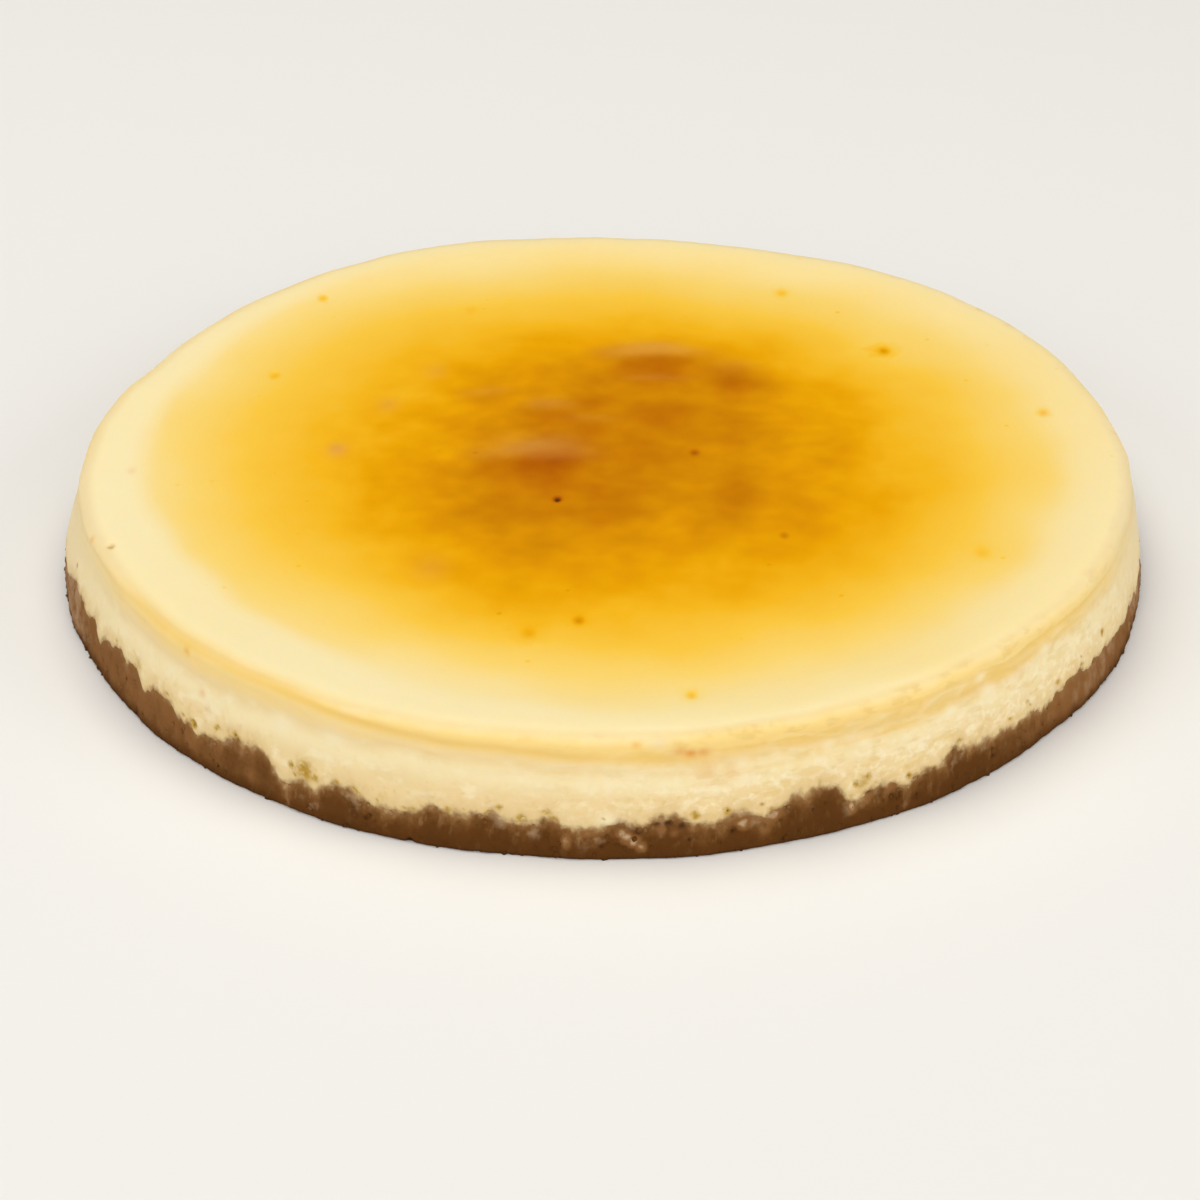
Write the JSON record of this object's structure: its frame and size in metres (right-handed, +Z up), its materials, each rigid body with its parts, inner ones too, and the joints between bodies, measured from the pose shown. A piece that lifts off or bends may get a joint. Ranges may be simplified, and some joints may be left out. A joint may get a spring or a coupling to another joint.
{
  "type": "baked cheesecake",
  "caption": "Whole round baked cheesecake, uncut: a low set custard layer with a browned, slightly dished top on a pressed biscuit crumb base.",
  "frame": {"origin": "middle of the underside, where the cake rests", "axes": "+Z up, the turning axis of the cake; the pictured side faces -Y"},
  "size_m": [0.2382, 0.2412, 0.025],
  "materials": {
    "baked_crumb": "pressed baked biscuit crumb, coarse and matt, darker at the bottom edge",
    "set_custard": "set cream cheese custard: cream at the sides, amber baked skin in the middle of the top, satin"
  },
  "bodies": {
    "root": {"biscuit_base": "baked_crumb", "cheese_filling": "set_custard"}
  },
  "joints": []
}
